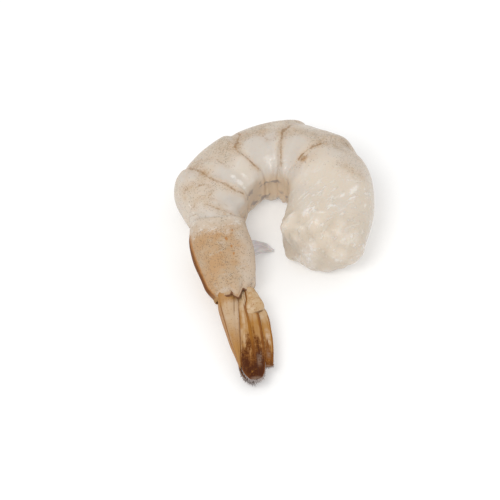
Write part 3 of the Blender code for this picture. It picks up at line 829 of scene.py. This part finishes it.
knuckleSet = {
    "rows": 80, "cols": 72,
    # distance along the fan, middle and half the reach towards the back, height, half the thickness
    "rings": [(0.8, -3.6, 0.1, 1.6, 0.1), (1.2, -3.8, 0.8, 1.7, 0.7), (3, -4.3, 1.5, 1.8, 1.35),
              (5, -4.6, 1.85, 1.85, 1.55), (6.5, -4.65, 2.35, 1.8, 1.5), (7.8, -4.65, 2.6, 1.65, 1.4),
              (8.8, -4.55, 2.5, 1.5, 1.2), (9.4, -4.45, 2.1, 1.35, 1), (9.8, -4.35, 1.4, 1.25, 0.8),
              (10, -4.3, 0.1, 1.2, 0.6)],
    "skew": 1.1, "power": 0.62, "sand": (0.5, 0.34, 0.185), "pale": (0.62, 0.475, 0.325),
    "amber": (0.38, 0.17, 0.03), "brown": (0.12, 0.04, 0.006), "rust": (0.2, 0.062, 0.006), "dents": 0.16,
    "finish": dict(Coat_Weight=0.12, Coat_Roughness=0.15, IOR=1.4, Specular_IOR_Level=0.35),
}


def makeKnuckle(place, side, material, look):
    # rings between the stations: a stub that widens to a lip, cut at a slant, with soft dents
    share = np.linspace(0, 1, look["rows"])[:, None]
    share = share * share * (3 - 2 * share) * 0.5 + share * 0.5
    along, middle, reach, height, thick = ringStations(look["rings"], share)
    angle = np.linspace(0, 2 * np.pi, look["cols"], endpoint=False)[None, :]
    c, q = np.cos(angle), np.sin(angle)
    dents = look["dents"] * np.sin(3.1 * c + 7.5 * share) * np.sin(9 * share - 2.4 * c)
    dents = dents * ease(share, 0.3, 0.5)
    along = along + look["skew"] * c * share**2
    back = middle + c * reach
    up = height + signedPower(q, look["power"]) * thick
    up = up + (dents - 0.2 * c * c) * unit(q) * unit(thick)
    grid = fanPoint(along, back, side * up)
    mesh = gridMesh(f"knuckle_{place}", grid, {"share": share, "round": c}, True, side < 0)
    return addPiece(mesh, material, "tail_fan", f"uropod_base_{place}")


def knuckleLook(look):
    # sand and pale patches with amber spots, browner along its outline
    m = Look("knuckleHorn", look, "sand")
    share, roundIt = m.mark("share"), m.mark("round")
    cloud = m.noise(0.4, 3, 0.65)
    m.tint(cloud.fade(0.42, 0.7) * 0.7, "pale")
    spots = m.noise(1.1, 4, 0.75)
    m.tint(spots.fade(0.46, 0.62) * 0.5, "amber")
    m.tint(spots.fade(0.56, 0.64) * share.fade(0.45, 0.7) * 0.6, "rust")
    # an amber and rust outline, and a dark line along the lip
    edge = (roundIt + (spots - 0.5) * 0.2).fade(0.62, 0.86)
    m.tint(edge * 0.85, "amber")
    m.tint(roundIt.fade(0.74, 0.9) * 0.85, "rust")
    lip = share.fade(0.9, 0.94) * (1 - roundIt.fade(-0.1, 0.3))
    m.tint(lip * 0.65, "brown")
    m.set(Base_Color=m.color, Roughness=0.4 + cloud * 0.15)
    m.relief((0.08, m.noise(0.9, 3)))
    return m.material


# a blade's stations: distance along the fan, middle and half the reach towards the back, height;
# its ribs: place across, slant, height, width
bladeSets = {
    "endopod": {
        "rings": [(1.5, -2.7, 1.5, 2), (5, -2.9, 1.8, 2.2), (8, -3, 2.15, 2.3), (10, -3.1, 2.4, 2.35),
                  (14, -3.05, 2.65, 2.2), (18.5, -2.85, 2.85, 1.9), (23, -2.5, 2.95, 1.6),
                  (25.5, -2.45, 2.65, 1.45), (27.3, -2.55, 1.95, 1.35), (28.4, -2.65, 1, 1.3),
                  (28.75, -2.7, 0.05, 1.3)],
        "ribs": [(0.5, -0.85, 0.28, 0.06)], "dark": 1, "darkFrom": (0.42, 0.66), "blackFrom": (0.52, 0.86),
        "dive": 1, "hairFrom": 0.8, "edgeLine": 0.7, "shine": (0, 0.3), "outer": 0.85, "hairLong": 1},
    "exopod": {
        "rings": [(6.2, -5, 1.7, 1.2), (8.4, -5.2, 2.3, 1.5), (10, -5.35, 2.5, 1.55), (14, -5.5, 2.55, 1.4),
                  (18, -5.5, 2.55, 1.15), (22, -5.3, 2.35, 0.88), (23.8, -5.35, 2, 0.75),
                  (24.6, -5.6, 1.4, 0.7), (24.9, -5.75, 0.05, 0.68)],
        "ribs": [(-0.94, 0.04, 0.08, 0.03)], "dark": 0.95, "darkFrom": (0.5, 0.74),
        "blackFrom": (0.88, 1.2),
        "dive": 0.2, "hairFrom": 0.9, "edgeLine": 0.25, "shine": (0.5, 0.55), "outer": 0, "hairLong": 0.55},
}
bladeSet = {
    "rows": 130, "cols": 60, "thickness": 0.42, "sand": (0.46, 0.29, 0.14), "pale": (0.57, 0.42, 0.27),
    "amber": (0.36, 0.155, 0.02), "rust": (0.185, 0.058, 0.005), "black": (0.065, 0.014, 0.001),
    "grey": (0.26, 0.175, 0.125), "line": (0.21, 0.065, 0.006), "gleam": (0.64, 0.53, 0.42), "lower": 0.965,
    "lowerTurn": 0.9, "crown": 0.5, "furrow": 0.16, "ruffle": 0.09, "laidOut": (26, 6),
    "finish": dict(IOR=1.4, Specular_IOR_Level=0.2),
}
hairSet = {
    "seed": 100, "count": 230, "length": 1.9, "width": 0.12, "lean": 0.55, "spread": 0.11, "sag": 0.1,
    "sunk": 0.3,
    "dark": (0.34, 0.25, 0.19), "pale": (0.42, 0.36, 0.34), "finish": dict(Roughness=0.5),
}


def bladePoint(share, across, size, side):
    # the leaf between its stations: crowned across, with ribs along it and a slightly ruffled edge
    along, middle, half, height = ringStations(size["rings"], share)
    if side < 0:
        # the blades underneath are folded further in and turned towards the back
        along, middle = along * bladeSet["lower"], middle + bladeSet["lowerTurn"] * share**2
    crown = bladeSet["crown"] * unit(-across) ** 2 + size["dive"] * unit(across) ** 4
    crown = -crown * unit(half / 2.8)
    ribs = sum(rise * bump(across, place + slant * share, wide)
               for place, slant, rise, wide in size["ribs"])
    ribs = ribs * (1 - share) ** 0.4
    place, slant = size["ribs"][0][:2]
    furrow = -bladeSet["furrow"] * bump(across, place + slant * share - 0.2, 0.09) * (1 - share) ** 0.5
    ruffle = bladeSet["ruffle"] * np.sin(share * 27 + 2 * across) * across**2
    return fanPoint(along, middle + half * across, side * (height + crown + ribs + furrow + ruffle))


def makeBlade(kind, place, side, size, material, look):
    # a sheet with rows closer together towards the far end, and a wall to both sides
    share = 1 - np.linspace(1, 0, look["rows"])[:, None] ** 1.35
    across = np.linspace(-1, 1, look["cols"])[None, :]
    grid = bladePoint(share, across, size, side)
    marks = {"share": share, "across": across}
    mesh = gridMesh(f"{kind}_leaf_{place}", grid, marks, flip=side > 0)
    piece = addPiece(mesh, material, "tail_fan", f"{kind}_{place}")
    return thicken(piece, look["thickness"], 0)


def makeHairs(kind, place, side, size, material, look, seed):
    # fine bristles from the far margin: three-sided spikes that lean outwards from it
    rng = np.random.default_rng(seed)
    count = look["count"]
    q = np.linspace(-1, 1, count) + rng.uniform(-0.006, 0.006, count)
    share = np.clip(1 - (1 - size["hairFrom"]) * np.abs(q) ** 1.8, 0, 0.998)
    root = bladePoint(share, np.sign(q) * 0.97, size, side)
    push = fanPoint(1, 0, 0) - fanPoint(0, 0, 0)
    aside = fanPoint(0, 1, 0) - fanPoint(0, 0, 0)
    lean = (look["lean"] * signedPower(q, 0.8))[:, None]
    way = push + lean * aside + rng.normal(0, look["spread"], (count, 3))
    way = way / np.linalg.norm(way, axis=1, keepdims=True)
    length = look["length"] * size["hairLong"] * rng.uniform(0.5, 1.05, count) * (1 - 0.55 * np.abs(q))
    rise = np.linspace(0, 1, 4)[None, :, None, None]
    turn = np.linspace(0, 2 * np.pi, 3, endpoint=False)[None, None, :, None]
    sideWay = np.cross(way, (0, 0, 1))
    sideWay = (sideWay / np.linalg.norm(sideWay, axis=1, keepdims=True))[:, None, None, :]
    upWay = np.cross(sideWay[:, 0, 0], way)[:, None, None, :]
    thin = look["width"] * (1 - rise) ** 0.7 + 0.012
    reach = rise * length[:, None, None, None] - look["sunk"]
    points = root[:, None, None, :] + way[:, None, None, :] * reach
    points = points + (np.cos(turn) * sideWay + np.sin(turn) * upWay) * thin
    points = points - look["sag"] * side * rise**2 * upWay
    ring, k = np.arange(3)[:, None] * 3, np.arange(3)
    one = np.stack([ring + 3 + k, ring + 3 + (k + 1) % 3, ring + (k + 1) % 3, ring + k], -1).reshape(-1, 4)
    offsets = (np.arange(count) * 12)[:, None, None]
    quads = (one[None] + offsets).reshape(-1, 4)
    caps = (np.array([[0, 1, 2], [11, 10, 9]])[None] + offsets).reshape(-1, 3)
    marks = {"share": np.broadcast_to(rise, (count, 4, 3, 1)).reshape(-1)}
    uv = [np.zeros((len(quads), 4, 2)), np.zeros((len(caps), 3, 2))]
    mesh = putMesh(f"{kind}_hairs_{place}", points.reshape(-1, 3), [quads, caps], uv, marks)
    return addPiece(mesh, material, "tail_fan")


def bladeLook(name, size, look):
    # pale at the root and nearly black towards the end in ragged streaks, with dark ribs and edges
    m = Look(name, look, "sand")
    share, across = m.mark("share"), m.mark("across")
    cloud = m.noise(0.3, 3, 0.65)
    streak = m.noise(1, 3, 0.6, on=m.lay(0.14, 1))
    mottle = m.noise(0.9, 4, 0.75)
    grain = m.noise(2.6, 2, 0.8)
    m.tint(cloud.fade(0.35, 0.65), "pale")
    m.tint(streak.fade(0.45, 0.62) * share.fade(0.15, 0.3) * 0.75, "amber")
    lean = 0.75 - across.fade(0, 0.5) * 0.5
    m.tint(share.fade(0.15, 0.45) * lean * size["dark"], "amber")
    strength, place = size["shine"]
    glow = share.near(place, 0.04, 0.2) * (1 - (across + 0.6).abs().fade(0.08, 0.34))
    m.tint(glow * mottle.fade(0.35, 0.6) * strength, "gleam")
    ragged = (cloud - 0.5) * 0.3 + (streak - 0.5) * 0.85 + (mottle - 0.5) * 0.3
    ragged = ragged - across.fade(0.2, 0.9) * 0.05
    start, full = size["darkFrom"]
    deep = (share + ragged - across.abs() * 0.08).fade(start, full)
    m.tint((deep + (grain - 0.5) * deep * 1.6) * size["dark"], "rust")
    start, full = size["blackFrom"]
    m.tint((share + ragged + (grain - 0.5) * 0.5).fade(start, full) * size["dark"], "black")
    m.tint(mottle.fade(0.58, 0.68) * deep * (0.3 + share.fade(0.88, 0.95) * 0.6), "amber")
    # the ribs carry dark lines, and a grey patch lies near the far end
    for place, slant, _, wide in size["ribs"]:
        line = (across - place).near(share * slant, wide * 0.4, wide * 1.5)
        m.tint(line * 0.85 * (1 - share.fade(0.6, 0.85)) * share.fade(0.16, 0.22), "line")
        beside = (across - place).near(share * slant, wide, wide * 3.5) * share.fade(0.2, 0.45)
        m.tint(beside * (1 - share.fade(0.5, 0.7)) * 0.6, "amber")
    grey = 1 - (across + 0.5 + (mottle - 0.5) * 0.6).abs().fade(0.08, 0.3)
    grey = grey * (share + (mottle - 0.5) * 0.2).near(0.8, 0.02, 0.1)
    m.tint(grey * size["dark"] * mottle.fade(0.36, 0.56) * 0.6, "grey")
    outer = (-across + (mottle - 0.5) * 0.12).fade(0.72, 0.84) * (1 - share.fade(0.55, 0.8))
    m.tint(outer * size["outer"], "line")
    edge = (across.abs() + (mottle - 0.5) * 0.08).fade(0.88, 0.97)
    m.tint(edge * size["edgeLine"], "line")
    tip = share.fade(0.965, 0.995)
    m.tint(tip * 0.6, "grey")
    m.set(Base_Color=m.color, Roughness=0.42 + cloud * 0.18)
    m.relief((0.08, streak), (0.05, m.noise(1.5, 3)))
    return m.material


def hairLook(look):  # dark at the roots, paler outwards
    m = Look("fringeHair", look, "dark")
    m.tint(m.mark("share").fade(0, 0.6), "pale")
    m.tint(m.noise(0.7, 2).fade(0.4, 0.6) * 0.5, "pale")
    m.set(Base_Color=m.color)
    return m.material


def makeFan():  # the telson, then both sides' blades with their hairs, then the knuckles
    makeTelson(telsonSet)
    knuckle = knuckleLook(knuckleSet)
    hair = hairLook(hairSet)
    seed = hairSet["seed"]
    for kind, size in bladeSets.items():
        material = bladeLook(kind + "Horn", size, bladeSet)
        for place, side in (("upper", 1), ("lower", -1)):
            makeBlade(kind, place, side, size, material, bladeSet)
            makeHairs(kind, place, side, size, hair, hairSet, seed)
            seed += 1
    for place, side in (("upper", 1), ("lower", -1)):
        makeKnuckle(place, side, knuckle, knuckleSet)


makeFan()
print("stage 5: tail fan")


# The shred of membrane.

scrapSet = {
    "rows": 60, "cols": 34, "thickness": 0.22, "rootAt": 76.8, "sunk": 1.2, "reach": (6.9, 3.6),
    "arch": 1.6, "half": 2.8, "tip": 0.3, "lowRoot": 1.4, "height": 0.45, "lowest": 0.15,
    "ripple": (0.25, 0.08), "grey": (0.64, 0.615, 0.635), "pale": (0.8, 0.775, 0.77), "clear": 0.9,
    "laidOut": (9, 6),
    "finish": dict(Roughness=0.35, Coat_Weight=0.3, Subsurface_Weight=0.2, Subsurface_Scale=0.001),
}


def makeScrap(look):
    # a narrow triangle that leaves the belly in an arch, sags to the table and ripples
    share = np.linspace(0, 1, look["rows"])[:, None]
    across = np.linspace(-1, 1, look["cols"])[None, :]
    root = bodyPoint(look["rootAt"], np.pi, -look["sunk"])
    half = (look["half"] - look["tip"]) * (1 - share**1.9) ** 1.1 + look["tip"]
    half += 0.15 * np.sin(11 * share) * share
    droop = (root[2] - look["height"]) * (1 - share) ** 1.6
    ripple = look["ripple"][0] * np.sin(5 * share + 2.2 * across) * np.sin(np.pi * share)
    ripple += look["ripple"][1] * np.sin(11 * share - 6 * across)
    x = root[0] + look["reach"][0] * share + 0.18 * half * across
    middle = look["reach"][1] * share**1.4 + look["arch"] * np.sin(np.pi * share)
    middle -= look["lowRoot"] * (1 - share) ** 3
    y = root[1] + middle + half * across
    z = look["height"] + droop + ripple + 0.12 * (1 + across)
    grid = np.stack(np.broadcast_arrays(x, y, np.maximum(z, look["lowest"])), -1)
    mesh = gridMesh("membrane_shred", grid, {"share": share}, flip=True)
    piece = addPiece(mesh, scrapLook(look), "flesh", "flesh")
    return thicken(piece, look["thickness"], 0)


def scrapLook(look):
    # grey with paler threads, a little clear
    m = Look("thinMembrane", look, "grey")
    fibre = m.noise(1, 3, on=m.lay(0.3, 2))
    m.tint(fibre.fade(0.4, 0.65), "pale")
    m.set(Base_Color=m.color, Alpha=look["clear"] + fibre * 0.15)
    m.relief((0.1, fibre), (0.05, m.noise(1.2, 3)))
    return m.material


makeScrap(scrapSet)
print("stage 6: membrane")
